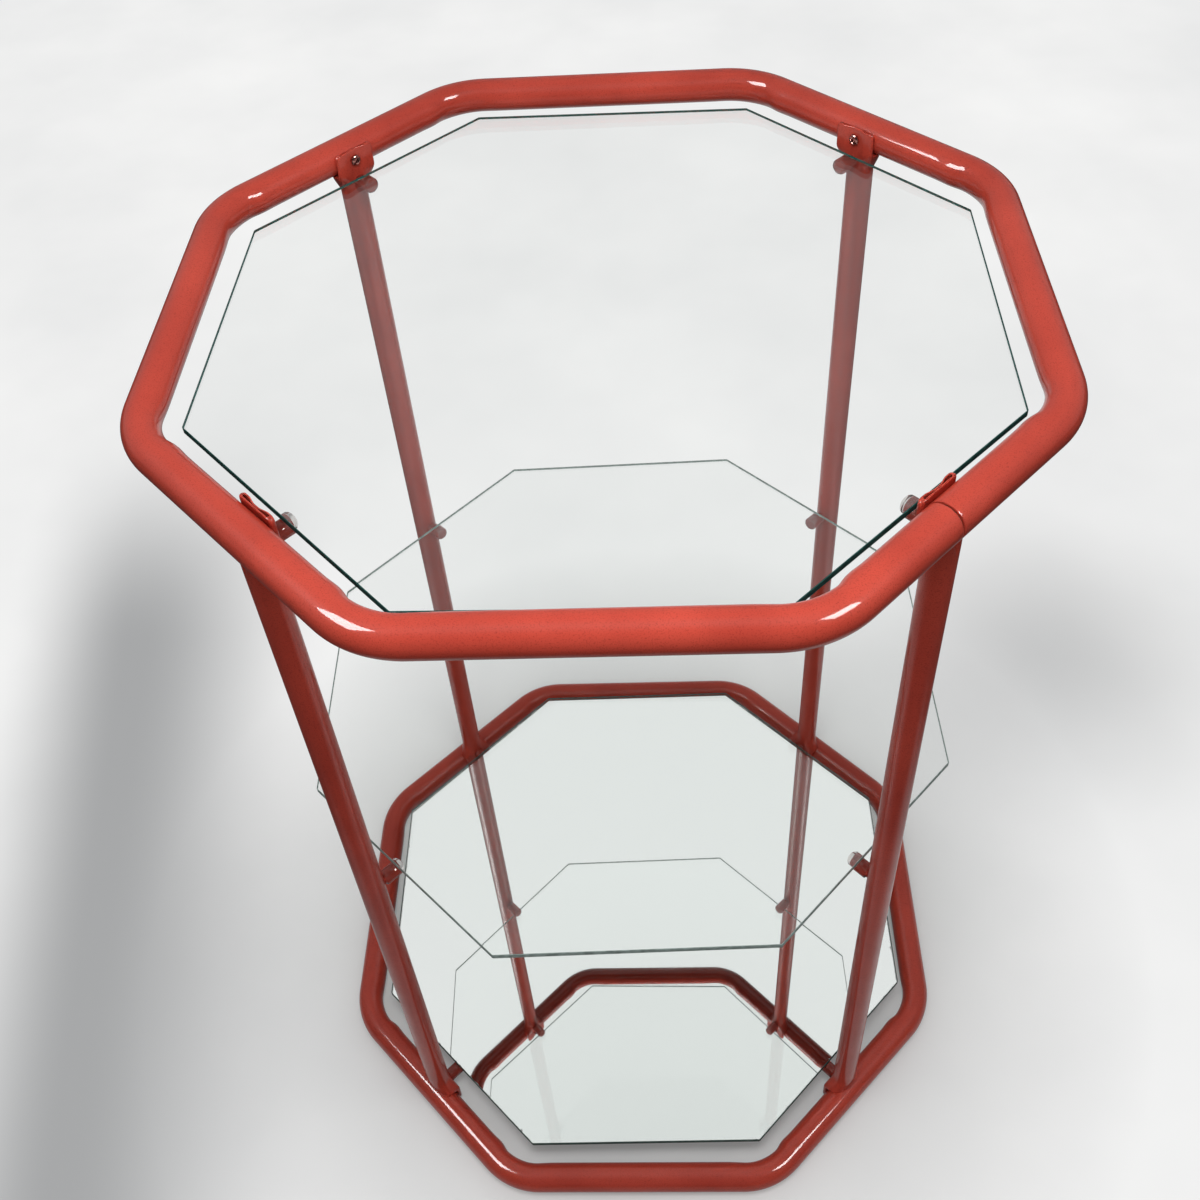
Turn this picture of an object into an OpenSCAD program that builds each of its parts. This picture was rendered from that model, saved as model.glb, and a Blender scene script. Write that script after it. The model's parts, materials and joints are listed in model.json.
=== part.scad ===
// Octagonal three-tier side table, in millimetres.
// Two rings of bent steel tube are joined by four upright tube legs. Each leg's ends are pressed
// flat and screwed to the inside of a ring. Steel pegs on the legs, each in a clear domed cap,
// carry two loose glass shelves and, lowest, a loose mirror shelf.
// The origin is the middle of the table on the floor, +Z is up, and the front faces -Y.

/* [Rings] */
// Overall height of the table, from the floor to the top of the top ring
table_h = 654; // [560:1:760]
// Distance between the centrelines of a ring's front and back sides, and of its left and right ones
ring_across = 440; // [420:1:480]
// How much further apart the centrelines of a ring's diagonal sides are, which carry the legs
ring_diagonal_extra = 5; // [0:0.5:8]
// Outside diameter of the ring tube
ring_tube_d = 20; // [18:0.5:22]
// Wall of the ring tube
ring_tube_wall = 1.2; // [1:0.1:2]
// Centreline radius of a ring's bends
ring_bend_r = 48; // [30:1:80]
// Width of the butt seam where the ends of a ring's tube meet
seam_w = 0.3; // [0.2:0.05:0.6]
// Distance of the seam from the middle of the leg beside it, on the side of the ring's front or back
seam_offset = 9; // [2.8:0.1:11]
// Length of the sleeve inside the seam
sleeve_l = 60; // [40:1:90]
// Wall of the sleeve
sleeve_wall = 1.5; // [1:0.1:2]

/* [Legs] */
// Outside diameter of the leg tube
leg_tube_d = 16; // [14:0.5:18]
// Wall of the leg tube
leg_tube_wall = 1.2; // [1:0.1:1.6]
// Distance of a leg's axis inside the ring's centreline
leg_inset = 4.3; // [3.5:0.1:5]
// Width of the pressed tongue at a leg's end
tongue_w = 26; // [24:0.5:30]
// Thickness of the pressed tongue
tongue_t = 3; // [2.6:0.1:3.6]
// Height of the tongue's end past the ring's centreline
tongue_past = 7; // [5:0.5:9]
// Radius of the tongue's end corners
tongue_corner_r = 2.5; // [1:0.5:4]
// Length of leg over which the round tube turns into the tongue, from the ring's centreline
press_l = 24; // [20:1:36]
// Width of each eye-shaped slit that is left between the tongue's two walls
eye_w = 6.5; // [4:0.5:7]
// Height of each eye-shaped slit
eye_t = 0.9; // [0.6:0.1:1.2]
// Depth to which the tongue is pinched in under the screw head
pinch_depth = 0.8; // [0.4:0.1:1]

/* [Screws] */
// Diameter of the screw's shank
screw_d = 3.9; // [3:0.1:4.2]
// Length of the screw's shank under the head
screw_l = 11; // [8:0.5:14]
// Diameter of the pan head
screw_head_d = 6.4; // [5.5:0.1:6.8]
// Height of the pan head
screw_head_h = 2.3; // [1.8:0.1:2.8]
// Length of each arm of the cross recess, end to end
recess_l = 3.8; // [3:0.1:4.4]
// Width of each arm of the cross recess
recess_w = 0.9; // [0.6:0.1:1.2]
// Depth of the cross recess
recess_depth = 1.3; // [0.8:0.1:1.5]

/* [Pegs] */
// Diameter of a shelf peg over its clear cap
peg_d = 9.5; // [8:0.1:10]
// Wall of the clear cap round a peg
cap_wall = 1.5; // [1:0.1:2]
// Length of the solid domed tip of a cap
peg_dome = 3; // [2:0.1:4]
// How far a cap reaches in under the edge of its shelf
peg_bearing = 7.5; // [6:0.1:12]
// How far a peg goes into its leg, where the leg is round
peg_embed = 5; // [4:0.1:6]

/* [Shelves] */
// Height of the middle shelf's upper face above the floor
middle_shelf_z = 331; // [200:1:440]
// Height of the mirror shelf's upper face above the bottom ring's centreline
mirror_shelf_rise = 18; // [17.6:0.1:50]
// Distance of the top shelf's upper face below the top ring's centreline
top_shelf_drop = 6; // [0:0.5:12]
// Thickness of the two clear glass shelves
glass_t = 4; // [3:0.1:6]
// Thickness of the mirror shelf
mirror_t = 4; // [3:0.1:4.5]
// Gap between a shelf's edge and the inside of the ring
shelf_gap = 7.5; // [6:0.1:12]

/* [Hidden] */
$fn = 64;
HULL_FN = 32;
SLICE = 0.01;          // thickness of the flat slices that a leg's end is lofted through
SEAT = 0.1;            // clearance of a leg on its ring and of a sleeve in its tube
HOLE_PLAY = 0.05;      // clearance of a screw or peg all round in its hole, and of a peg in its cap
REST = 0.2;            // clearance of a shelf above its caps, and of a cap from its leg
OVERCUT = 1;           // extra length that carries a cut past the face it opens

CORNERS = ["back_right", "back_left", "front_left", "front_right"];
TIERS = ["top", "middle", "bottom"];
ENDS = ["top", "bottom"];
SEAM_CORNER = [3, 1];  // the corner of CORNERS that the top and bottom ring's seams lie at

ring_r = ring_tube_d / 2;
ring_bore_r = ring_r - ring_tube_wall;
ring_flat = ring_across / 2;
ring_diagonal = ring_flat + ring_diagonal_extra / 2;
ring_z = [table_h - ring_r, ring_r];
leg_r = leg_tube_d / 2;
leg_axis = ring_diagonal - leg_inset;
tongue_in = leg_inset - ring_r + SEAT - tongue_t;   // inner face of a tongue, from the leg's axis
screw_seat = tongue_in + pinch_depth;               // face under a screw's head, from the leg's axis
shelf_r = min(ring_flat, ring_diagonal) - ring_r - shelf_gap;
shelf_z = [ring_z[0] - top_shelf_drop, middle_shelf_z, ring_z[1] + mirror_shelf_rise];
shelf_t = [glass_t, glass_t, mirror_t];
cap_r = peg_d / 2;
peg_r = cap_r - cap_wall - HOLE_PLAY;
peg_z = [for (tier = [0 : 2]) shelf_z[tier] - shelf_t[tier] - REST - cap_r];
cap_tip = shelf_r - peg_bearing - leg_axis;         // tip of a cap, from the leg's axis

// ---- Geometry that several sub-parts share ----

// Turns a leg's own frame, with +X outwards and its axis at the origin, to its place in the table
module at_corner(corner) {
    rotate([0, 0, 45 + 90 * corner])
        translate([leg_axis, 0, 0])
            children();
}

// Turns what is drawn for a leg's upper end, with z = 0 at the ring's centreline, to either end
module at_end(end) {
    translate([0, 0, ring_z[end]])
        mirror([0, 0, end])
            children();
}

// A bar along X, from one place to another
module bar_x(from, to, r) {
    translate([from, 0, 0])
        rotate([0, 90, 0])
            cylinder(r = r, h = to - from);
}

// ---- Rings ----

// The straight lengths of a ring's tube, in order round the ring from one side of its seam
bend_reach = ring_bend_r * tan(22.5);
flat_straight = 2 * (ring_diagonal * sqrt(2) - ring_flat - bend_reach);
diagonal_straight = 2 * (ring_flat * sqrt(2) - ring_diagonal - bend_reach);
ring_straights = [
    diagonal_straight / 2 + seam_offset - seam_w / 2,
    for (side = [1 : 7]) side % 2 == 0 ? diagonal_straight : flat_straight,
    diagonal_straight / 2 - seam_offset - seam_w / 2
];

// The cross-section of the ring's tube
module tube_section() {
    difference() {
        circle(r = ring_r);
        circle(r = ring_bore_r);
    }
}

// A tube bent to the ring's centreline: it starts along +Y, and each bend turns it 45 degrees
module ring_tube(run = 0) {
    rotate([-90, 0, 0])
        linear_extrude(height = ring_straights[run])
            tube_section();
    if (run < len(ring_straights) - 1)
        translate([-ring_bend_r, ring_straights[run], 0]) {
            rotate_extrude(angle = 45)
                translate([ring_bend_r, 0])
                    tube_section();
            rotate([0, 0, 45])
                translate([ring_bend_r, 0, 0])
                    ring_tube(run + 1);
        }
}

// A hollow ring, open at its seam, with the screw holes in its inner wall
module ring(end) {
    color("firebrick")
        difference() {
            at_corner(SEAM_CORNER[end])
                translate([leg_inset, seam_w / 2 - seam_offset, ring_z[end]])
                    ring_tube();
            for (corner = [0 : 3])
                at_corner(corner)
                    at_end(end)
                        bar_x(leg_inset - ring_r - OVERCUT, leg_inset, screw_d / 2 + HOLE_PLAY);
        }
}

// The sleeve that joins the two ends of a ring's tube, drilled for the leg's screw
module ring_sleeve(end) {
    sleeve_r = ring_bore_r - SEAT;
    color("gray")
        at_corner(SEAM_CORNER[end])
            at_end(end)
                difference() {
                    translate([leg_inset, sleeve_l / 2, 0])
                        rotate([90, 0, 0])
                            difference() {
                                cylinder(r = sleeve_r, h = sleeve_l);
                                translate([0, 0, -OVERCUT])
                                    cylinder(r = sleeve_r - sleeve_wall, h = sleeve_l + 2 * OVERCUT);
                            }
                    bar_x(leg_inset - ring_r, leg_inset, screw_d / 2 + HOLE_PLAY);
                }
}

// ---- Legs ----

// The outline of a tongue seen from the table's middle, with rounded end corners
module tongue_outline() {
    base = -1;
    difference() {
        translate([-tongue_w / 2, base])
            square([tongue_w, tongue_past - base]);
        for (side = [-1, 1])
            translate([side * (tongue_w / 2 - tongue_corner_r), tongue_past - tongue_corner_r])
                difference() {
                    translate([side > 0 ? 0 : -2 * tongue_corner_r, 0])
                        square(2 * tongue_corner_r);
                    circle(r = tongue_corner_r, $fn = HULL_FN);
                }
    }
}

// The loft from the round tube through a flattened oval at oval_z to the tongue. The cavity inside
// it is the same loft with a skin taken off all round, and it ends at its oval.
module pressed_end(oval_z, skin = 0) {
    oval_out = leg_inset - ring_r / 4;
    oval_w = tongue_w - 1;
    hull() {
        translate([0, 0, -press_l])
            linear_extrude(height = SLICE)
                circle(r = leg_r - skin, $fn = HULL_FN);
        translate([(tongue_in + oval_out) / 2, 0, oval_z])
            linear_extrude(height = SLICE)
                scale([(oval_out - tongue_in) / 2 - skin, oval_w / 2 - skin])
                    circle(r = 1, $fn = HULL_FN);
        if (skin == 0)
            translate([tongue_in, 0, 0])
                rotate([90, 0, 90])
                    linear_extrude(height = tongue_t)
                        tongue_outline();
    }
}

// A lens-shaped slit between the tongue's walls, from its end down into the tube
module eye_slit(depth) {
    lens_r = (eye_w * eye_w / 4 + eye_t * eye_t / 4) / eye_t;
    translate([tongue_in + tongue_t / 2, 0, -depth])
        linear_extrude(height = depth + tongue_past + OVERCUT)
            intersection() {
                translate([lens_r - eye_t / 2, 0])
                    circle(r = lens_r);
                translate([eye_t / 2 - lens_r, 0])
                    circle(r = lens_r);
            }
}

// Where a peg's inner end stops: inside the leg's wall, and clear of the ring beside it
function peg_root(tier) =
    let (
        end = tier == 0 ? 0 : 1,
        rise = max(0, abs(peg_z[tier] - ring_z[end]) - peg_r),
        ring_clear = ring_r + 2 * SEAT,
        beside_ring = rise < ring_clear ? leg_inset - sqrt(pow(ring_clear, 2) - pow(rise, 2)) : leg_r
    )
    min(peg_embed - leg_r, beside_ring);

module leg(corner) {
    oval_z = -0.4 * press_l;
    cavity_z = -press_l / 2;
    eye_y = tongue_w / 4 + 1;
    color("indianred")
        at_corner(corner)
            difference() {
                union() {
                    translate([0, 0, ring_z[1] + press_l])
                        cylinder(r = leg_r, h = ring_z[0] - ring_z[1] - 2 * press_l);
                    for (end = [0, 1])
                        at_end(end)
                            pressed_end(oval_z);
                }
                translate([0, 0, ring_z[1] + press_l - SLICE])
                    cylinder(
                        r = leg_r - leg_tube_wall,
                        h = ring_z[0] - ring_z[1] - 2 * press_l + 2 * SLICE
                    );
                for (end = [0, 1])
                    at_end(end) {
                        pressed_end(cavity_z, leg_tube_wall);
                        for (side = [-1, 1])
                            translate([0, side * eye_y, 0])
                                eye_slit(-cavity_z + OVERCUT);
                        translate([leg_inset, press_l, 0])
                            rotate([90, 0, 0])
                                cylinder(r = ring_r + SEAT, h = 2 * press_l);
                        bar_x(tongue_in - OVERCUT, leg_inset, screw_d / 2 + 2 * HOLE_PLAY);
                        bar_x(tongue_in - OVERCUT, screw_seat, screw_head_d / 2 + SEAT);
                    }
                for (tier = [0 : 2])
                    translate([0, 0, peg_z[tier]])
                        bar_x(-2 * leg_r, peg_root(tier) + HOLE_PLAY, peg_r + HOLE_PLAY);
            }
}

// ---- Screws and pegs ----

// A pan-head screw with a cross recess, its head on the tongue and its shank in the ring
module screw(end, corner) {
    neck = 0.6;
    color("silver")
        at_corner(corner)
            at_end(end)
                translate([screw_seat, 0, 0])
                    difference() {
                        rotate([0, -90, 0])
                            rotate_extrude()
                                difference() {
                                    union() {
                                        translate([0, -screw_l])
                                            square([screw_d / 2, screw_l + OVERCUT / 2]);
                                        square([screw_head_d / 2, neck]);
                                        intersection() {
                                            dome_r = (pow(screw_head_d / 2, 2)
                                                + pow(screw_head_h - neck, 2))
                                                / (2 * (screw_head_h - neck));
                                            translate([0, screw_head_h - dome_r])
                                                circle(r = dome_r);
                                            translate([0, neck])
                                                square([screw_head_d / 2, screw_head_h]);
                                        }
                                    }
                                    translate([-screw_head_d, -screw_l])
                                        square([screw_head_d, 3 * screw_l]);
                                }
                        for (turn = [0, 90])
                            rotate([45 + turn, 0, 0])
                                translate([-screw_head_h, -recess_l / 2, -recess_w / 2])
                                    cube([recess_depth, recess_l, recess_w]);
                    }
}

// A shelf peg: a round bar that points at the table's middle
module peg(tier, corner) {
    color("indianred")
        at_corner(corner)
            translate([0, 0, peg_z[tier]])
                bar_x(cap_tip + peg_dome + HOLE_PLAY, peg_root(tier), peg_r);
}

// The clear cap over a peg: a sleeve that ends beside the leg, with a solid domed tip
module peg_cap(tier, corner) {
    dome_r = (pow(cap_r, 2) + pow(peg_dome, 2)) / (2 * peg_dome);
    color("whitesmoke", 0.5)
        at_corner(corner)
            translate([0, 0, peg_z[tier]])
                difference() {
                    intersection() {
                        bar_x(cap_tip, min(-leg_r, tongue_in) - REST, cap_r);
                        union() {
                            translate([cap_tip + dome_r, 0, 0])
                                sphere(r = dome_r);
                            bar_x(cap_tip + peg_dome, leg_r, 2 * cap_r);
                        }
                    }
                    bar_x(cap_tip + peg_dome, leg_r, cap_r - cap_wall);
                }
}

// ---- Shelves ----

// A flat octagonal plate with sharp corners, its upper face at the tier's height
module shelf(tier) {
    translate([0, 0, shelf_z[tier] - shelf_t[tier]])
        rotate([0, 0, 22.5])
            linear_extrude(height = shelf_t[tier])
                circle(r = shelf_r / cos(22.5), $fn = 8);
}

module clear_shelf(tier) {
    color("lightcyan", 0.4)
        shelf(tier);
}

module mirror_shelf() {
    color("gainsboro")
        shelf(2);
}

for (end = [0, 1]) {
    ring(end);
    ring_sleeve(end);
    for (corner = [0 : 3])
        screw(end, corner);
}
for (corner = [0 : 3]) {
    leg(corner);
    for (tier = [0 : 2]) {
        peg(tier, corner);
        peg_cap(tier, corner);
    }
}
clear_shelf(0);  // top_glass_shelf
clear_shelf(1);  // middle_glass_shelf
mirror_shelf();
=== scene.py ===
# An octagonal side table: two bent steel rings on four pressed tube legs, painted red, with two
# clear glass shelves and a mirror shelf, each lying on four pegs. Metres, +Z up, origin on the
# floor under the middle of the table.
import json
import math
import random

import bpy
import bmesh
from mathutils import Matrix, Vector

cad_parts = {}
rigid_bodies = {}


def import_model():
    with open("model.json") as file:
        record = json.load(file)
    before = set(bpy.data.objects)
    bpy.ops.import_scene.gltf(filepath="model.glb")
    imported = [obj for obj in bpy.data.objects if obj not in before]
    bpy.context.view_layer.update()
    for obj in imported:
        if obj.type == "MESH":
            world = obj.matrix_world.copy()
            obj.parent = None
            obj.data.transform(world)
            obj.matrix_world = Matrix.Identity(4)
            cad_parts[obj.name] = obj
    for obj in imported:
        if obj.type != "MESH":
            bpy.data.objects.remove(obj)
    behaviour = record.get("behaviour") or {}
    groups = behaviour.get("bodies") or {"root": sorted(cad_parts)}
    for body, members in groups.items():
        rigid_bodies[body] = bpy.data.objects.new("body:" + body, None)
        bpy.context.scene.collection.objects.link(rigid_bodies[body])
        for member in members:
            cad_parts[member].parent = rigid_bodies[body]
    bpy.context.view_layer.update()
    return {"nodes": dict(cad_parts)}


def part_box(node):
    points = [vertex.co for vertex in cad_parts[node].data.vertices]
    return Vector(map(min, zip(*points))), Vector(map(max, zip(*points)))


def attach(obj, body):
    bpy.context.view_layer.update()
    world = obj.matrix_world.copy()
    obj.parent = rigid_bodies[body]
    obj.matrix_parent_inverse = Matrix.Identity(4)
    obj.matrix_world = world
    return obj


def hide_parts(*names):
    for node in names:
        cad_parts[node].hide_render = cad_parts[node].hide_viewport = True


MM = 0.001

CORNERS = ("back_right", "back_left", "front_left", "front_right")
TIERS = ("top", "middle", "bottom")
ENDS = ("top", "bottom")
SEAM_CORNER = {"top": 3, "bottom": 1}

# Cut ends of tubes, bars and caps
LIP = 0.35 * MM                # their rounding
ROUNDED = ((0, 1), (0.3, 0.3), (1, 0))     # its points: shares of LIP along a bar and in from its side

# Ring tube
BEND_R = 48 * MM
BEND_PARTS = 18
RING_WALL = 1.2 * MM
SEAM_W = 1.1 * MM
SEAM_OFFSET = 9 * MM           # from the middle of the leg beside it, on the ring's front or back side
BEND_SQUEEZE = 0.9 * MM        # how far the former flattened the inside of each bend
SQUEEZE_ON_DIAGONAL = (4 * MM, 9 * MM)     # how far before a bend it starts, and how soon it is full
SQUEEZE_ON_FLAT = (12 * MM, 26 * MM)
BEND_BULGE = 0.5 * MM          # the ridge it pushed up on the diagonal side of the bend
BULGE_AT = 6 * MM
BULGE_L = 5 * MM
MARK_STEP = 1.75 * MM          # between the close sections at both ends of each straight run
MARKS = 13                     # how many of them at each end, where the run is long enough

# Leg tube
LEG_D = 16 * MM
LEG_WALL = 0.9 * MM
LEG_INSET = 4.3 * MM           # from the ring's centreline in to the leg's axis
PRESS_L = 24 * MM              # where the tube starts to widen, back from the ring's centreline
FLAT_FROM = 7 * MM             # where it is fully flattened, measured alike
TONGUE_HALF_W = 13 * MM
TONGUE_CORNER_R = 2.5 * MM
SEAT = 0.1 * MM
WALLS_GAP = 0.05 * MM          # between the two walls where the screw pinches them
PINCH_HALF_W = 1.5 * MM
LOOP_GAP = 1.2 * MM            # opening of the two loops at a flattened tube's sides
LOOP_SLOPE = 6.5 * MM
DENT = 6.2 * MM                # how far the tube's outer wall is dented in where it lands on the ring
DENT_BEFORE = 4 * MM           # how far the dent starts before the tube widens
DENT_NARROW = 1.5 * MM         # half of its width there
DENT_WIDENS = 3.2 * MM         # and what that half gains by the ring
# Heights of a leg end's sections from the ring's centreline, in millimetres: up inside the mouth,
# and down outside, closest together where the wall meets the ring's side
HEIGHTS_INSIDE = (-9, -6, -3, 0, 3, 5)
HEIGHTS_OUTSIDE = (6.2, 5.4, 4.5, 3, 1.5, 0, -1, -2, -3, -4, -5, -5.8, -6.5, -7.2, -8, -8.7, -9.1,
                   -9.4, -9.7, -9.9, -10, -10.05, -10.1, -10.11, -11, -12, -13, -14.5, -16, -18, -20,
                   -22, -24, -26, -28.5)

# Screws and pegs
HEAD_H = 2.3 * MM
HEAD_DOME = 1.5 * MM
HEAD_LIP = 0.2 * MM
SHANK_R = 1.95 * MM
SHANK_TIP_L = 0.8 * MM
SHANK_TIP_R = 0.3 * MM
RECESS_L = 3.8 * MM
RECESS_W = 0.9 * MM
RECESS_DEPTH = 1.3 * MM
RECESS_END_SLOPE = 0.9 * MM
RECESS_SIDE_SLOPE = 0.16 * MM
RECESS_MIDDLE_R = 0.02 * MM
CAP_DOME = 3 * MM
PEG_FILLET = 0.5 * MM          # paint gathered where a peg leaves its leg

# Panels
ARRIS = 0.35 * MM
PANEL_CORNER_R = 1.5 * MM
SILVER_INSET = 0.7 * MM
SILVER_TOP = 0.12 * MM         # top of the silver sheet above the mirror's underside
SILVER_GAP = 0.02 * MM         # free above the sheet and below it

# How each loose shelf lies: moved a little in x and y, and turned to the left by so many degrees
LIES = {"top_glass_shelf": (1.6 * MM, -0.2 * MM, -0.9),
        "middle_glass_shelf": (2.1 * MM, 1.2 * MM, 1.6),
        "mirror_shelf": (1.4 * MM, 1.3 * MM, 0.7)}

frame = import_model()


# ---- What the frame says ----

def corner_angle(corner):
    """The direction of a corner from the table's middle, where 0 is straight right."""
    return math.radians(45 + 90 * corner)


def direction(angle):
    """A level vector of length 1."""
    return Vector((math.cos(angle), math.sin(angle), 0))


def reach(node, corner):
    """How near and how far a node's points are from the table's middle, along its corner's line."""
    outward = direction(corner_angle(corner))
    along = [outward.dot(vertex.co) for vertex in frame["nodes"][node].data.vertices]
    return min(along), max(along)


def middle_z(node):
    low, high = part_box(node)
    return (low[2] + high[2]) / 2


def round_r(node):
    """The radius of a round node that lies level."""
    low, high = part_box(node)
    return (high[2] - low[2]) / 2


ring_r = round_r("top_ring")
ring_z = {end: middle_z(end + "_ring") for end in ENDS}
ring_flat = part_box("top_ring")[1][0] - ring_r
ring_diagonal = reach("top_ring", 0)[1] - ring_r

leg_r = LEG_D / 2
leg_axis = ring_diagonal - LEG_INSET
tongue_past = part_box("leg_back_right")[1][2] - ring_z["top"]
peg_r = round_r("peg_top_back_right")
cap_r = round_r("peg_cap_top_back_right")


# ---- Making meshes ----

def place(corner, x, y, z):
    """A point in a corner's own frame, x outwards from the leg's axis and y to its left."""
    a = corner_angle(corner)
    out = leg_axis + x
    return Vector((out * math.cos(a) - y * math.sin(a), out * math.sin(a) + y * math.cos(a), z))


def end_place(corner, end, x, y, height):
    """The same, with height measured from a ring's centreline towards the leg's tip."""
    up = 1 if end == "top" else -1
    return place(corner, x, y, ring_z[end] + up * height)


def step_up(t):
    """A smooth step from 0 to 1."""
    t = max(0.0, min(1.0, t))
    return t * t * (3 - 2 * t)


def make(name, points, faces, materials, sharp=38, marks=None):
    """A smooth mesh, with its edges sharp from an angle on and its faces marked with materials."""
    mesh = bpy.data.meshes.new(name)
    mesh.from_pydata(points, [], faces)
    if marks:
        for polygon, mark in zip(mesh.polygons, marks):
            polygon.material_index = mark
    work = bmesh.new()
    work.from_mesh(mesh)
    bmesh.ops.recalc_face_normals(work, faces=work.faces)
    work.to_mesh(mesh)
    work.free()
    for material in materials:
        mesh.materials.append(material)
    mesh.shade_smooth()
    mesh.set_sharp_from_angle(angle=math.radians(sharp))
    thing = bpy.data.objects.new(name, mesh)
    bpy.context.scene.collection.objects.link(thing)
    return thing


def skin(sections, closed=False):
    """Points and faces over sections of equal length. An open skin has its two ends filled."""
    count = len(sections[0])
    points = [point for section in sections for point in section]
    faces = []
    for row in range(len(sections) if closed else len(sections) - 1):
        here = row * count
        there = (row + 1) % len(sections) * count
        for i in range(count):
            j = (i + 1) % count
            faces.append((here + i, here + j, there + j, there + i))
    if not closed:
        faces.append(tuple(range(count)))
        faces.append(tuple(range(len(points) - count, len(points))))
    return points, faces


def stands_for(thing, node, body):
    """Hides the node that a piece replaces, and makes the piece move with a body."""
    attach(thing, body)
    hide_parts(node)


# ---- Node helpers ----

def feed(tree, socket, value):
    """Gives a socket the output of a node, a colour or a number."""
    if isinstance(value, bpy.types.NodeSocket):
        tree.links.new(value, socket)
    elif isinstance(value, tuple):
        socket.default_value = (*value, 1)
    else:
        socket.default_value = value


def noise(tree, scale, detail=3.0, roughness=0.55):
    """Noise over the object's own coordinates, in grains per metre."""
    node = tree.nodes.new("ShaderNodeTexNoise")
    node.inputs["Scale"].default_value = scale
    node.inputs["Detail"].default_value = detail
    node.inputs["Roughness"].default_value = roughness
    feed(tree, node.inputs["Vector"], tree.nodes.new("ShaderNodeTexCoord").outputs["Object"])
    return node.outputs["Fac"]


def spread(tree, value, low, high, to_low, to_high, easing="LINEAR"):
    """Moves a value's range so that low becomes to_low and high becomes to_high, and no further."""
    node = tree.nodes.new("ShaderNodeMapRange")
    node.interpolation_type = easing
    for socket, number in zip(("From Min", "From Max", "To Min", "To Max"), (low, high, to_low, to_high)):
        node.inputs[socket].default_value = number
    feed(tree, node.inputs["Value"], value)
    return node.outputs["Result"]


def worked_out(tree, operation, *values):
    """A number worked out from one or more values, each a number or the output of a node."""
    node = tree.nodes.new("ShaderNodeMath")
    node.operation = operation
    for socket, value in zip(node.inputs, values):
        feed(tree, socket, value)
    return node.outputs["Value"]


def measured(tree, operation, here, other):
    """A place's distance from another, or how far it lies along another."""
    node = tree.nodes.new("ShaderNodeVectorMath")
    node.operation = operation
    node.inputs[1].default_value = other
    feed(tree, node.inputs[0], here)
    return node.outputs["Value"]


def ray(tree, question):
    """What is known of the ray that shades a point: its kind or its number of turns."""
    return tree.nodes.new("ShaderNodeLightPath").outputs[question]


def blend_colours(tree, factor, first, second):
    """Mixes two colours, each a tuple or the output of a node."""
    node = tree.nodes.new("ShaderNodeMix")
    node.data_type = "RGBA"
    feed(tree, node.inputs["Factor"], factor)
    feed(tree, node.inputs[6], first)
    feed(tree, node.inputs[7], second)
    return node.outputs[2]


def plain_shader(tree, kind, colour):
    """A shader of the simple kinds that have no more than a colour."""
    node = tree.nodes.new(kind)
    feed(tree, node.inputs["Color"], colour)
    return node.outputs[0]


def mix_shaders(tree, factor, first, second):
    """The first shader where the factor is 0, and the second where it is 1."""
    node = tree.nodes.new("ShaderNodeMixShader")
    for socket, value in zip(node.inputs, (factor, first, second)):
        feed(tree, socket, value)
    return node.outputs["Shader"]


def bump(tree, shader, value, strength, distance):
    """Roughens a surface's normals by a value, without moving its points."""
    node = tree.nodes.new("ShaderNodeBump")
    node.inputs["Strength"].default_value = strength
    node.inputs["Distance"].default_value = distance
    feed(tree, node.inputs["Height"], value)
    feed(tree, shader.inputs["Normal"], node.outputs["Normal"])


# ---- Materials ----

def new_material(name):
    """A node material, with its tree and its shader."""
    material = bpy.data.materials.new(name)
    material.use_nodes = True
    return material, material.node_tree, material.node_tree.nodes["Principled BSDF"]


def vary_colour(tree, shader, factor, first, second):
    """Colours a surface from two colours, mixed by a factor."""
    feed(tree, shader.inputs["Base Color"], blend_colours(tree, factor, first, second))


def vary_roughness(tree, shader, grain, low, high, least, most):
    """Spreads a noise from low to high over the roughness from least to most."""
    feed(tree, shader.inputs["Roughness"], spread(tree, grain, low, high, least, most))


def red_enamel():
    """Gloss enamel on steel: slight orange peel, cloudy colour, dark flecks and darker edges."""
    material, tree, shader = new_material("red_enamel")
    clouds = spread(tree, noise(tree, 14), 0.35, 0.68, 0, 1)
    colour = blend_colours(tree, clouds, (0.48, 0.053, 0.032), (0.6, 0.072, 0.044))
    flecks = spread(tree, noise(tree, 1500, 2), 0.52, 0.74, 0, 0.55)
    colour = blend_colours(tree, flecks, colour, (0.22, 0.016, 0.01))
    edges = tree.nodes.new("ShaderNodeNewGeometry").outputs["Pointiness"]
    worn = spread(tree, edges, 0.53, 0.6, 0, 0.5)
    vary_colour(tree, shader, worn, colour, (0.2, 0.02, 0.015))
    vary_roughness(tree, shader, noise(tree, 60), 0.3, 0.7, 0.34, 0.46)
    shader.inputs["Specular IOR Level"].default_value = 0.06
    shader.inputs["Coat Weight"].default_value = 0.55
    shader.inputs["Coat Roughness"].default_value = 0.06
    bump(tree, shader, noise(tree, 620, 2), 0.07, 0.00025)
    return material


def steel(name, colour, rough, grain):
    """Bare or plated steel with a fine grain and a little grime."""
    material, tree, shader = new_material(name)
    grime = spread(tree, noise(tree, 380, 4), 0.5, 0.75, 0, 0.7)
    dark = tuple(0.45 * part for part in colour)
    vary_colour(tree, shader, grime, colour, dark)
    vary_roughness(tree, shader, noise(tree, grain), 0.3, 0.7, rough, rough + 0.18)
    shader.inputs["Metallic"].default_value = 1
    bump(tree, shader, noise(tree, grain * 2, 2), 0.1, 0.00008)
    return material


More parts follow.
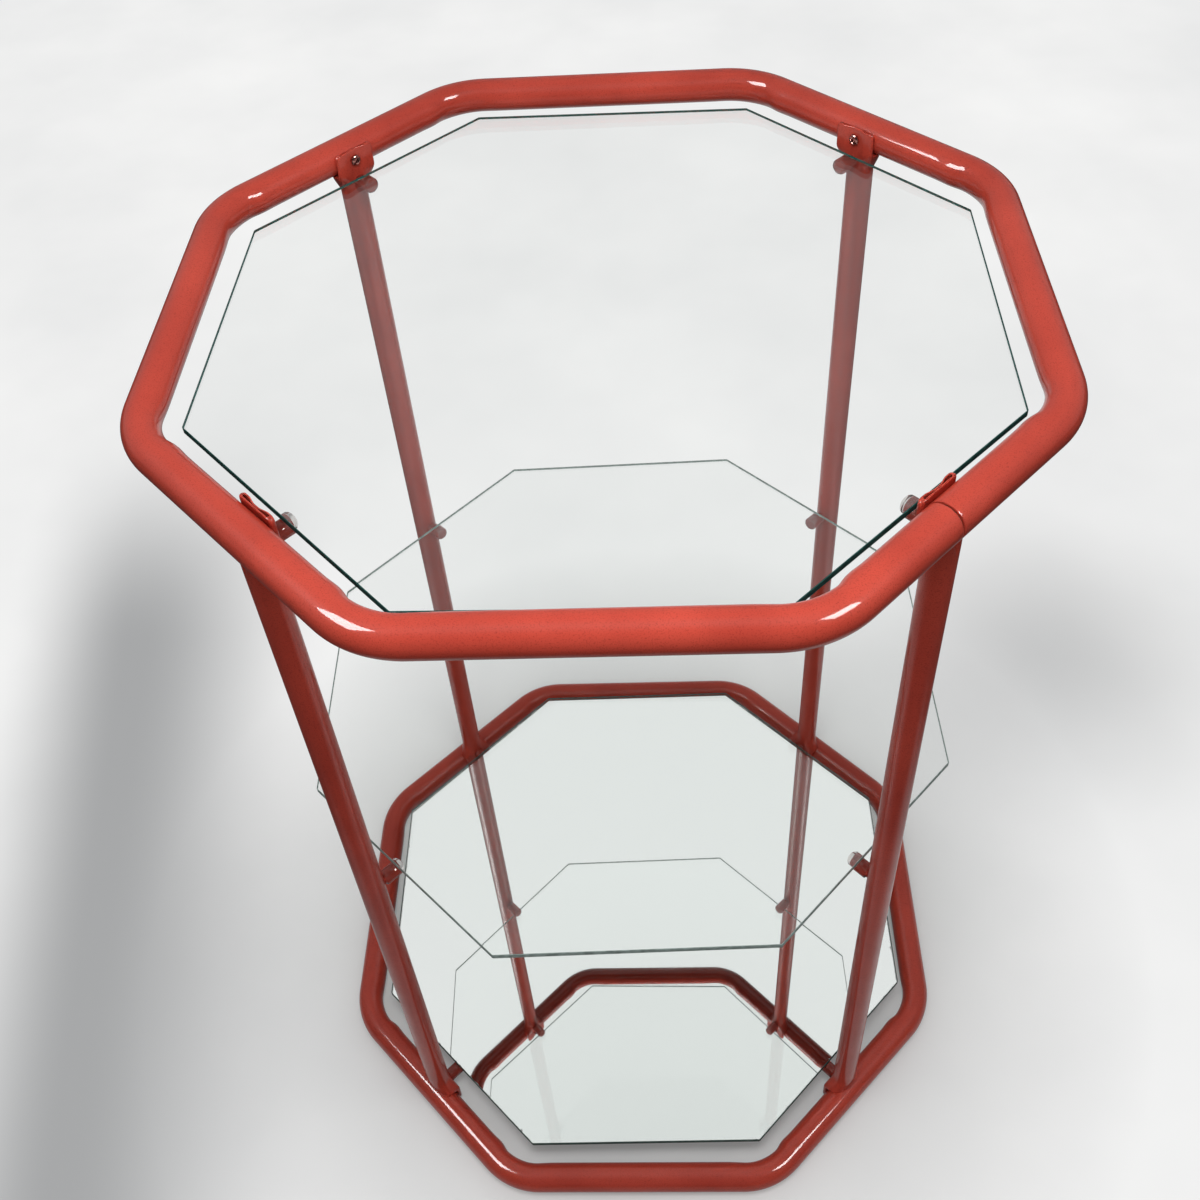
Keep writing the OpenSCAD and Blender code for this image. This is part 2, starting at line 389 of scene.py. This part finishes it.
def let_light_through(material, tint):
    """Lets lamps shine through glass, as they do, without the noise of caustics."""
    tree = material.node_tree
    glass = tree.nodes["Principled BSDF"].outputs["BSDF"]
    clear_shadow = plain_shader(tree, "ShaderNodeBsdfTransparent", tint)
    surface = mix_shaders(tree, ray(tree, "Is Shadow Ray"), glass, clear_shadow)
    feed(tree, tree.nodes["Material Output"].inputs["Surface"], surface)


def clear_glass():
    """Clear float glass with faint smears."""
    material, tree, shader = new_material("clear_float_glass")
    shader.inputs["Base Color"].default_value = (0.985, 0.995, 0.99, 1)
    shader.inputs["Transmission Weight"].default_value = 1
    shader.inputs["IOR"].default_value = 1.52
    vary_roughness(tree, shader, noise(tree, 22, 5, 0.7), 0.5, 0.85, 0, 0.02)
    bump(tree, shader, noise(tree, 9, 1), 0.02, 0.0004)
    let_light_through(material, (0.93, 0.955, 0.945))
    return material


def soft_plastic():
    """Clear vinyl, a little cloudy."""
    material, tree, shader = new_material("clear_vinyl")
    clouds = spread(tree, noise(tree, 260, 3), 0.3, 0.7, 0, 1)
    vary_colour(tree, shader, clouds, (0.66, 0.64, 0.62), (0.74, 0.72, 0.7))
    vary_roughness(tree, shader, noise(tree, 400), 0.4, 0.75, 0.01, 0.07)
    shader.inputs["Transmission Weight"].default_value = 1
    shader.inputs["IOR"].default_value = 1.5
    bump(tree, shader, noise(tree, 500, 2), 0.05, 0.00015)
    let_light_through(material, (0.4, 0.38, 0.36))
    return material


def glass_edge(name, colour, rough):
    """The ground edge of a pane, which gathers the green of the whole sheet."""
    material, tree, shader = new_material(name)
    streaks = spread(tree, noise(tree, 240, 3), 0.35, 0.7, 0, 1)
    lighter = tuple(1.9 * part for part in colour)
    vary_colour(tree, shader, streaks, colour, lighter)
    vary_roughness(tree, shader, noise(tree, 1500, 2), 0.3, 0.7, rough, rough + 0.2)
    shader.inputs["Specular IOR Level"].default_value = 0.1
    bump(tree, shader, noise(tree, 1900, 2), 0.15, 0.00008)
    let_light_through(material, (0.5, 0.62, 0.57))
    return material


def silver_layer():
    """The reflecting coat under the mirror, with a few tiny spots where it has gone."""
    material, tree, shader = new_material("mirror_silver")
    spots = spread(tree, noise(tree, 170, 5, 0.75), 0.74, 0.8, 0, 0.6)
    vary_colour(tree, shader, spots, (0.94, 0.955, 0.945), (0.35, 0.33, 0.3))
    vary_roughness(tree, shader, noise(tree, 30), 0.3, 0.7, 0.0, 0.02)
    shader.inputs["Metallic"].default_value = 1
    return material


def backing_paint():
    """The dull grey paint that covers the silver from behind."""
    material, tree, shader = new_material("mirror_backing")
    mottle = spread(tree, noise(tree, 90, 4), 0.3, 0.7, 0, 1)
    vary_colour(tree, shader, mottle, (0.13, 0.14, 0.145), (0.2, 0.21, 0.21))
    vary_roughness(tree, shader, noise(tree, 900), 0.3, 0.7, 0.6, 0.8)
    bump(tree, shader, noise(tree, 1200), 0.2, 0.0001)
    return material


red = red_enamel()
vinyl = soft_plastic()
screw_steel = steel("screw_steel", (0.5, 0.22, 0.19), 0.1, 1400)
# The sleeve's steel is coloured almost black: painted shade, for the sleeve seen deep in the ring's seam.
painted_shade_sleeve = steel("painted_shade_sleeve", (0.06, 0.056, 0.052), 0.5, 900)
clear = clear_glass()
green_edge = glass_edge("glass_edge", (0.018, 0.075, 0.066), 0.4)
# The middle pane is the same glass as the top one; its edge is coloured lighter than the top pane's:
# painted light.
painted_lit_edge = glass_edge("middle_glass_edge_painted_light", (0.26, 0.32, 0.3), 0.35)
mirror_edge = glass_edge("mirror_edge", (0.05, 0.085, 0.075), 0.4)
silver = silver_layer()
backing = backing_paint()


# ---- Rings ----

def ring_runs():
    """The lengths of a ring's straight runs, from one side of its seam round to the other. The seam
    cuts a diagonal run in two."""
    bend_reach = BEND_R * math.tan(math.radians(22.5))
    flat_run = 2 * (ring_diagonal * math.sqrt(2) - ring_flat - bend_reach)
    diagonal_run = 2 * (ring_flat * math.sqrt(2) - ring_diagonal - bend_reach)
    runs = [diagonal_run / 2 + SEAM_OFFSET - SEAM_W / 2]
    runs += [diagonal_run if side % 2 == 0 else flat_run for side in range(1, 8)]
    runs += [diagonal_run / 2 - SEAM_OFFSET - SEAM_W / 2]
    return runs


def ring_stations(end):
    """Stations along a ring's centreline from one side of its seam to the other: the place, the
    direction of travel, the distance to the nearest bend, or minus the distance back out of it, and
    whether that end of the bend is on a diagonal side."""
    runs = ring_runs()
    far_from_bends = 1
    turn = corner_angle(SEAM_CORNER[end])
    heading = turn + math.pi / 2
    at = direction(turn) * ring_diagonal + direction(heading) * (SEAM_W / 2 - SEAM_OFFSET)
    stations = []
    for number, run in enumerate(runs):
        ahead = direction(heading)
        near = [step * MARK_STEP for step in range(MARKS) if step * MARK_STEP < run]
        for mark in sorted({0.0, run} | set(near) | {run - mark for mark in near}):
            since_bend = mark if number > 0 else far_from_bends
            until_bend = run - mark if number < len(runs) - 1 else far_from_bends
            stations.append((at + ahead * mark, heading, min(since_bend, until_bend), number % 2 == 0))
        at = at + ahead * run
        if number == len(runs) - 1:
            break
        centre = at + direction(heading + math.pi / 2) * BEND_R
        for part in range(1, BEND_PARTS):
            turned_by = math.radians(45) * part / BEND_PARTS
            spoke = direction(heading - math.pi / 2 + turned_by)
            inside = -BEND_R * min(turned_by, math.radians(45) - turned_by)
            diagonal = (number + (part > BEND_PARTS / 2)) % 2 == 0
            stations.append((centre + spoke * BEND_R, heading + turned_by, inside, diagonal))
        heading += math.radians(45)
        at = centre + direction(heading - math.pi / 2) * BEND_R
    return stations


def ring_section(station, z, radius, sides=56):
    """The tube's outline at a station, pressed in and ridged on the inside of the bends."""
    at, heading, to_bend, diagonal = station
    outward = direction(heading - math.pi / 2)
    start, length = SQUEEZE_ON_DIAGONAL if diagonal else SQUEEZE_ON_FLAT
    squeeze = BEND_SQUEEZE * step_up((start - to_bend) / length)
    bulge = BEND_BULGE * math.exp(-((to_bend - BULGE_AT) / BULGE_L) ** 2) if diagonal else 0
    section = []
    for side in range(sides):
        a = math.tau * side / sides
        inner = max(0.0, -math.cos(a)) ** 2
        r = radius - inner * (squeeze - bulge)
        section.append(at + outward * r * math.cos(a) + Vector((0, 0, z + r * math.sin(a))))
    return section


def ring(end):
    """A ring's open tube: its outside from one rounded end to the other, and its bore back again."""
    z = ring_z[end]
    stations = ring_stations(end)

    def rim_section(station, along, inwards):
        """A section moved along the ring, and smaller by a share of LIP."""
        at, heading, to_bend, diagonal = station
        moved = at + direction(heading) * along
        return ring_section((moved, heading, to_bend, diagonal), z, ring_r - inwards * LIP)

    sections = [rim_section(stations[0], along * LIP, inwards) for along, inwards in ROUNDED]
    sections += [ring_section(station, z, ring_r) for station in stations[1:-1]]
    sections += [rim_section(stations[-1], -along * LIP, inwards) for along, inwards in reversed(ROUNDED)]
    sections += [ring_section(station, z, ring_r - RING_WALL) for station in reversed(stations)]
    points, faces = skin(sections, closed=True)
    thing = make(end + "_ring_tube", points, faces, [red])
    stands_for(thing, end + "_ring", "frame")


def sleeve(end):
    """The sleeve inside a ring's seam stays as the frame has it, in steel coloured almost black: painted
    shade of the seam.
    """
    materials = frame["nodes"][end + "_ring_sleeve"].data.materials
    materials.clear()
    materials.append(painted_shade_sleeve)


# ---- Legs ----

def coped(x, y, height):
    """Dents the wall on the ring's side in towards its middle, and stops it on the ring itself."""
    dent_from = PRESS_L + DENT_BEFORE
    dent = DENT * step_up((height + dent_from) / (dent_from - ring_r))
    dent_w = DENT_NARROW + DENT_WIDENS * step_up((height + PRESS_L) / (PRESS_L - ring_r))
    if x > 0:
        x -= dent * math.exp(-(y / dent_w) ** 2)
    saddle_r = ring_r + SEAT
    if -saddle_r <= height < 0:
        x = min(x, LEG_INSET - math.sqrt(saddle_r ** 2 - height ** 2))
    return x


def fold_depth(y):
    """Outer thickness of the flattened tube: pinched by the screw, with an open loop to each side."""
    return 2 * LEG_WALL + WALLS_GAP + LOOP_GAP * step_up((abs(y) - PINCH_HALF_W) / LOOP_SLOPE)


def flat_outline(half_w, inset, count):
    """Points round the flattened tube, counted by length from the middle of its ring-side wall. That
    wall lies straight along the ring, and the one facing the table's middle waves over two loops."""
    ring_side = LEG_INSET - ring_r - SEAT
    loop_r = fold_depth(half_w) / 2
    bend_r = loop_r - inset
    straight = half_w - loop_r
    bend_l = math.pi * bend_r
    length = 4 * straight + 2 * bend_l
    outline = []
    for i in range(count):
        s = i / count * length
        if s > length / 2:
            x, y = outline[count - i]
            outline.append((x, -y))
        elif s < straight:
            outline.append((ring_side - inset, s))
        elif s < straight + bend_l:
            a = (s - straight) / bend_r
            outline.append((ring_side - loop_r + bend_r * math.cos(a), straight + bend_r * math.sin(a)))
        else:
            y = 2 * straight + bend_l - s
            outline.append((ring_side - fold_depth(y) + inset, y))
    return outline


def leg_section(corner, end, height, inset, count=88):
    """The leg's outline at a height from a ring's centreline, towards its tip. An inset moves it in
    through the wall, and only the outside is coped."""
    flat = step_up((height + PRESS_L) / (PRESS_L - FLAT_FROM))
    on_ring = step_up((height + ring_r) / (ring_r - FLAT_FROM))
    rounding = max(0.0, height - (tongue_past - TONGUE_CORNER_R))
    half_w = TONGUE_HALF_W - (TONGUE_CORNER_R - math.sqrt(max(0.0, TONGUE_CORNER_R ** 2 - rounding ** 2)))
    outline = flat_outline(half_w, inset, count)
    section = []
    for i, (flat_x, flat_y) in enumerate(outline):
        a = math.tau * i / count
        x = (leg_r - inset) * math.cos(a)
        y = (leg_r - inset) * math.sin(a)
        x += (flat_x - x) * (on_ring if x > 0 else flat)
        y += (flat_y - y) * flat
        if inset == 0:
            x = coped(x, y, height)
        section.append(end_place(corner, end, x, y, height))
    return section


def leg_end(corner, end):
    """The sections of one pressed end, from inside its mouth over its rim and down to the tube."""
    tip = tongue_past
    rim = ((tip - 0.3 * LIP, LEG_WALL - 0.3 * LIP), (tip, LEG_WALL - LIP), (tip, LIP), (tip - LIP, 0))
    sections = [leg_section(corner, end, height * MM, LEG_WALL) for height in HEIGHTS_INSIDE]
    sections += [leg_section(corner, end, height, inset) for height, inset in rim]
    sections += [leg_section(corner, end, height * MM, 0) for height in HEIGHTS_OUTSIDE]
    return sections


def leg(corner):
    """One leg as a single skin, from one pressed end to the other, with the tube's bore closed off."""
    sections = leg_end(corner, "top") + leg_end(corner, "bottom")[::-1]
    points, faces = skin(sections)
    thing = make("leg_tube_" + CORNERS[corner], points, faces, [red], sharp=50)
    stands_for(thing, "leg_" + CORNERS[corner], "frame")


# ---- Screws and pegs ----

def circle(corner, z, r, out, count):
    """Points round a line that points at the table's middle, at a distance out from there."""
    turns = [math.tau * i / count for i in range(count)]
    return [place(corner, out - leg_axis, r * math.cos(a), z + r * math.sin(a)) for a in turns]


def cross_depth(u, v):
    """How deep the cross recess is at a point of a screw's head, with sloping walls."""
    half_l, half_w = RECESS_L / 2, RECESS_W / 2
    deepest = 0.0
    for along, across in ((abs(u), abs(v)), (abs(v), abs(u))):
        end_slope = step_up((half_l - along) / RECESS_END_SLOPE)
        side_slope = step_up((half_w + RECESS_SIDE_SLOPE / 2 - across) / RECESS_SIDE_SLOPE)
        deepest = max(deepest, end_slope * side_slope)
    return RECESS_DEPTH * deepest


def dome_depth(part):
    """How far a screw's domed head falls back from its middle, at a part of its radius."""
    return HEAD_DOME * (1 - math.sqrt(max(0.0, 1 - (0.97 * part) ** 2)))


def screw(end, corner):
    """A pan head with its cross turned at random, over the hole in the tongue, and its shank."""
    node = "screw_" + end + "_" + CORNERS[corner]
    head_r = round_r(node)
    centre_z = middle_z(node)
    near, far = reach(node, corner)
    turn = random.Random(node).uniform(0, math.pi / 2)
    rows, count = 22, 96
    sections = [circle(corner, centre_z, RECESS_MIDDLE_R, near + RECESS_DEPTH, count)]
    for row in range(1, rows + 1):
        r = head_r * row / rows
        section = []
        for i in range(count):
            a = math.tau * i / count
            sunk = cross_depth(r * math.cos(a + turn), r * math.sin(a + turn))
            out = near + dome_depth(row / rows) + sunk
            section.append(place(corner, out - leg_axis, r * math.cos(a), centre_z + r * math.sin(a)))
        sections.append(section)
    seat = near + HEAD_H
    behind = ((head_r, seat - HEAD_LIP), (head_r - HEAD_LIP, seat), (SHANK_R, seat),
              (SHANK_R, far - SHANK_TIP_L), (SHANK_TIP_R, far))
    sections += [circle(corner, centre_z, r, out, count) for r, out in behind]
    points, faces = skin(sections)
    thing = make(node + "_pan_head", points, faces, [screw_steel], sharp=30)
    stands_for(thing, node, "frame")


def turned(corner, z, profile, count=56):
    """A skin turned round a line that points at the table's middle, from pairs of radius and reach."""
    return skin([circle(corner, z, r, out, count) for r, out in profile])


def peg(tier, corner):
    """A painted bar that sticks in from a leg, with a little fillet of paint at its root."""
    node = "peg_" + tier + "_" + CORNERS[corner]
    near, far = reach(node, corner)
    root = leg_axis - leg_r
    profile = [(peg_r - inwards * LIP, near + along * LIP) for along, inwards in ROUNDED]
    for a in (math.radians(15 * k) for k in range(7)):
        profile.append((peg_r + PEG_FILLET * (1 - math.cos(a)), root - PEG_FILLET * (1 - math.sin(a))))
    profile += [(peg_r, root + PEG_FILLET), (peg_r, far)]
    points, faces = turned(corner, middle_z(node), profile)
    thing = make(node + "_bar", points, faces, [red], sharp=60)
    stands_for(thing, node, "frame")


def peg_cap(tier, corner):
    """The clear cap over a peg, closed round it as if wetted onto it, so that the red shows right out
    to its sides as it does through tight vinyl."""
    node = "peg_cap_" + tier + "_" + CORNERS[corner]
    near, far = reach(node, corner)
    angles = [math.radians(5 * k) for k in range(1, 19)]
    profile = [(cap_r * math.sin(a), near + CAP_DOME * (1 - math.cos(a))) for a in angles]
    profile += [(cap_r - inwards * LIP, far - along * LIP) for along, inwards in reversed(ROUNDED)]
    points, faces = turned(corner, middle_z(node), profile)
    thing = make(node + "_vinyl", points, faces, [vinyl], sharp=60)
    stands_for(thing, node, "frame")


# ---- Panels ----

def octagon(node, inset, steps=5):
    """The outline of a shelf, its corners just rounded, with its sides moved in by an inset."""
    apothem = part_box(node)[1][0]
    move_x, move_y, turn = LIES[node]
    outline = []
    radius = max(PANEL_CORNER_R - inset, 0.05 * MM)
    corner_out = (apothem - inset - radius) / math.cos(math.radians(22.5))
    for corner in range(8):
        middle = math.radians(22.5 + 45 * corner + turn)
        centre = direction(middle) * corner_out + Vector((move_x, move_y, 0))
        for part in range(steps):
            a = middle + math.radians(45) * (part / (steps - 1) - 0.5)
            outline.append(centre + direction(a) * radius)
    return outline


def pane(name, node, body, bottom_gap, edge):
    """A glass pane with a fine arris along its ground edges."""
    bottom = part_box(node)[0][2] + bottom_gap
    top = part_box(node)[1][2]
    levels = ((ARRIS, bottom), (0, bottom + ARRIS), (0, top - ARRIS), (ARRIS, top))
    sections = [[Vector((p.x, p.y, z)) for p in octagon(node, inset)] for inset, z in levels]
    points, faces = skin(sections)
    edge_faces = 3 * len(sections[0])
    marks = [1] * edge_faces + [0, 0]
    thing = make(name, points, faces, [clear, edge], sharp=20, marks=marks)
    stands_for(thing, node, body)


def ragged_outline(node):
    """The outline of the mirror's silver, nibbled all along and chipped here and there."""
    rng = random.Random(4)
    piece_l = 1.6 * MM
    usual_bite = 0.22 * MM
    chip_share = 0.04
    outline = octagon(node, SILVER_INSET)
    ragged = []
    for i, here in enumerate(outline):
        there = outline[(i + 1) % len(outline)]
        pieces = max(1, int((there - here).length / piece_l))
        for part in range(pieces):
            p = here.lerp(there, part / pieces)
            bite = abs(rng.gauss(0, usual_bite)) + (rng.random() < chip_share) * rng.uniform(0.3, 1.3) * MM
            ragged.append(p * (1 - bite / p.length))
    return ragged


def silvering(node):
    """The mirror's silver and its backing paint: a thin sheet whose edge is a little ragged."""
    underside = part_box(node)[0][2]
    ragged = ragged_outline(node)
    sections = [[Vector((p.x, p.y, underside + z)) for p in ragged] for z in (SILVER_GAP, SILVER_TOP)]
    points, faces = skin(sections)
    marks = [0] * len(ragged) + [0, 1]
    thing = make("mirror_silvering", points, faces, [backing, silver], sharp=20, marks=marks)
    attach(thing, "mirror")


for end in ENDS:
    ring(end)
    sleeve(end)
for corner in range(4):
    leg(corner)
    for end in ENDS:
        screw(end, corner)
    for tier in TIERS:
        peg(tier, corner)
        peg_cap(tier, corner)
pane("top_pane", "top_glass_shelf", "top_shelf", 0, green_edge)
pane("middle_pane", "middle_glass_shelf", "middle_shelf", 0, painted_lit_edge)
pane("mirror_pane", "mirror_shelf", "mirror", SILVER_TOP + SILVER_GAP, mirror_edge)
silvering("mirror_shelf")


# ---- Floor, light and camera ----

ONE_TURN = 1.5     # fewer turns than this are none or one


def seen_directly(tree):
    """1 for rays that show a surface to the eye, straight or by glass or a mirror, and 0 for light."""
    seen = ray(tree, "Is Camera Ray")
    for kind in ("Is Glossy Ray", "Is Transmission Ray"):
        seen = worked_out(tree, "MAXIMUM", seen, ray(tree, kind))
    return seen


def shade_beside(tree, here, parts):
    """The soft shade on the cloth at the left and right of the table, from 0 to 1."""
    leftwards = measured(tree, "DOT_PRODUCT", here, (-1, -0.15, 0))
    shade = spread(tree, leftwards, 0.26, 0.47, 0, 1, "SMOOTHSTEP")
    y = parts.outputs["Y"]
    for value, low, high, at_low, at_high in ((leftwards, 0.48, 0.62, 1, 0), (y, 0.3, 0.65, 1, 0),
                                              (y, -0.7, -0.3, 0, 1)):
        limit = spread(tree, value, low, high, at_low, at_high, "SMOOTHSTEP")
        shade = worked_out(tree, "MULTIPLY", shade, limit)
    from_right = measured(tree, "DISTANCE", here, (0.4, 0.27, 0))
    right_shade = spread(tree, from_right, 0, 0.24, 0.62, 0, "SMOOTHSTEP")
    return worked_out(tree, "MAXIMUM", shade, right_shade)


def mirrored_far_off(tree, parts):
    """1 for reflections of the floor well in front of the table or beside it, fading to 0 near it."""
    to_side = worked_out(tree, "ABSOLUTE", worked_out(tree, "SUBTRACT", parts.outputs["X"], 0.05))
    in_front = spread(tree, parts.outputs["Y"], -0.2, -0.42, 0, 1)
    far_off = worked_out(tree, "MAXIMUM", in_front, spread(tree, to_side, 0.27, 0.5, 0, 1))
    reflected = ray(tree, "Is Glossy Ray")
    only_mirrored = worked_out(tree, "GREATER_THAN", reflected, ray(tree, "Is Transmission Ray"))
    return worked_out(tree, "MULTIPLY", far_off, only_mirrored)


def pale_floor():
    """White cloth. The eye sees it as pale as it is, with the table's shadow on it, while it throws
    back little light and its far parts are dark in reflections."""
    material, tree, shader = new_material("pale_cloth")
    folds = spread(tree, noise(tree, 2.4, 4), 0.3, 0.7, 0, 1)
    vary_colour(tree, shader, folds, (0.13, 0.13, 0.13), (0.16, 0.16, 0.16))
    shader.inputs["Roughness"].default_value = 0.9
    here = tree.nodes.new("ShaderNodeTexCoord").outputs["Object"]
    parts = tree.nodes.new("ShaderNodeSeparateXYZ")
    feed(tree, parts.inputs["Vector"], here)
    white = blend_colours(tree, folds, (0.84, 0.845, 0.845), (0.95, 0.95, 0.945))
    white = blend_colours(tree, shade_beside(tree, here, parts), white, (0.4, 0.405, 0.41))
    cloth = plain_shader(tree, "ShaderNodeBsdfDiffuse", white)
    glow = plain_shader(tree, "ShaderNodeEmission", white)
    dark = plain_shader(tree, "ShaderNodeEmission", (0.05, 0.05, 0.05))
    from_middle = measured(tree, "DISTANCE", here, (0, 0, 0))
    shown = mix_shaders(tree, spread(tree, from_middle, 0.21, 0.42, 0.15, 0.93), cloth, glow)
    shown = mix_shaders(tree, mirrored_far_off(tree, parts), shown, dark)
    surface = mix_shaders(tree, seen_directly(tree), shader.outputs["BSDF"], shown)
    feed(tree, tree.nodes["Material Output"].inputs["Surface"], surface)
    half_w = 6
    outline = [Vector((x * half_w, y * half_w, 0)) for x, y in ((-1, -1), (1, -1), (1, 1), (-1, 1))]
    floor = make("floor", outline, [(0, 1, 2, 3)], [material])


def only_first_reflection(light):
    """Lets a lamp show in a first reflection alone, and never by way of a matt surface."""
    light.use_nodes = True
    tree = light.node_tree
    turns = worked_out(tree, "MULTIPLY_ADD", ray(tree, "Diffuse Depth"), 2, ray(tree, "Glossy Depth"))
    few_turns = worked_out(tree, "LESS_THAN", turns, ONE_TURN)
    feed(tree, tree.nodes["Emission"].inputs["Strength"], few_turns)


def pieces_of(name, materials):
    """A collection of the pieces whose first material is one of these."""
    pieces = bpy.data.collections.new(name)
    for thing in bpy.context.scene.objects:
        if thing.type == "MESH" and thing.data.materials and thing.data.materials[0] in materials:
            pieces.objects.link(thing)
    return pieces


def lamp(name, at, towards, size, power, mirrored=False):
    """A soft lamp that lights surfaces and is in no reflection, or a window that lights nothing and
    is only mirrored, by the paint, the caps and the screws. Glass shows neither behind it."""
    light = bpy.data.lights.new(name, "AREA")
    light.shape = "RECTANGLE"
    light.size, light.size_y = size
    light.energy = power
    thing = bpy.data.objects.new(name, light)
    thing.location = at
    thing.rotation_euler = (Vector(towards) - Vector(at)).to_track_quat("-Z", "Y").to_euler()
    thing.visible_diffuse = not mirrored
    thing.visible_glossy = mirrored
    thing.visible_transmission = False
    if mirrored:
        only_first_reflection(light)
        shiny = pieces_of(name + "_shines_on", (red, vinyl, screw_steel))
        thing.light_linking.receiver_collection = shiny
    bpy.context.scene.collection.objects.link(thing)


def surroundings():
    """A pale room that is darker towards the front, most of all in reflections. The eye sees plain
    pale walls, straight or through glass."""
    world = bpy.data.worlds.new("pale_room")
    bpy.context.scene.world = world
    world.use_nodes = True
    tree = world.node_tree
    parts = tree.nodes.new("ShaderNodeSeparateXYZ")
    feed(tree, parts.inputs["Vector"], tree.nodes.new("ShaderNodeTexCoord").outputs["Generated"])
    behind = spread(tree, parts.outputs["Y"], -0.6, 0.3, 0, 1)
    room = tree.nodes["Background"]
    room.inputs["Strength"].default_value = 1
    feed(tree, room.inputs["Color"], blend_colours(tree, behind, (0.27, 0.27, 0.27), (0.34, 0.34, 0.34)))
    reflected_room = blend_colours(tree, behind, (0.04, 0.04, 0.04), (0.4, 0.405, 0.405))
    reflected_room = plain_shader(tree, "ShaderNodeBackground", reflected_room)
    walls = plain_shader(tree, "ShaderNodeBackground", (0.87, 0.875, 0.875))
    lit = mix_shaders(tree, ray(tree, "Is Glossy Ray"), room.outputs["Background"], reflected_room)
    straight = worked_out(tree, "MAXIMUM", ray(tree, "Is Camera Ray"), ray(tree, "Is Transmission Ray"))
    few_turns = worked_out(tree, "LESS_THAN", ray(tree, "Glossy Depth"), ONE_TURN)
    seen = worked_out(tree, "MULTIPLY", straight, few_turns)
    feed(tree, tree.nodes["World Output"].inputs["Surface"], mix_shaders(tree, seen, lit, walls))


def camera():
    """In front of the table and above it, looking steeply down, and turned a little."""
    at = (0.03221, -0.56594, 1.06788)
    yaw, pitch, roll = -0.0703, 0.7931, 0.0777
    ahead = Vector((math.sin(yaw) * math.cos(pitch), math.cos(yaw) * math.cos(pitch), -math.sin(pitch)))
    level = Vector((math.cos(yaw), -math.sin(yaw), 0))
    down = ahead.cross(level)
    right = math.cos(roll) * level + math.sin(roll) * down
    below = -math.sin(roll) * level + math.cos(roll) * down
    data = bpy.data.cameras.new("camera")
    data.sensor_width = 36
    data.lens = 40.564
    data.shift_y = -0.0769
    data.clip_start = 0.02
    data.clip_end = 50
    thing = bpy.data.objects.new("camera", data)
    aim = Matrix((right, -below, -ahead)).transposed()
    thing.matrix_world = Matrix.Translation(at) @ aim.to_4x4()
    bpy.context.scene.collection.objects.link(thing)
    bpy.context.scene.camera = thing


pale_floor()
surroundings()
lamp("ceiling", (0.02, -0.3, 1.28), (0, 0, 0.3), (0.45, 0.35), 4.7)
lamp("front_fill", (0.02, -1.6, 0.95), (0, 0, 0.6), (0.9, 0.5), 2)
lamp("left_window", (-1.05, -0.42, 1.75), (0, 0, 0.55), (0.75, 0.62), 46, mirrored=True)
lamp("right_window", (1.1, -0.66, 1.8), (0, 0, 0.55), (0.62, 0.5), 32, mirrored=True)
camera()
bpy.context.scene.view_settings.view_transform = "Standard"
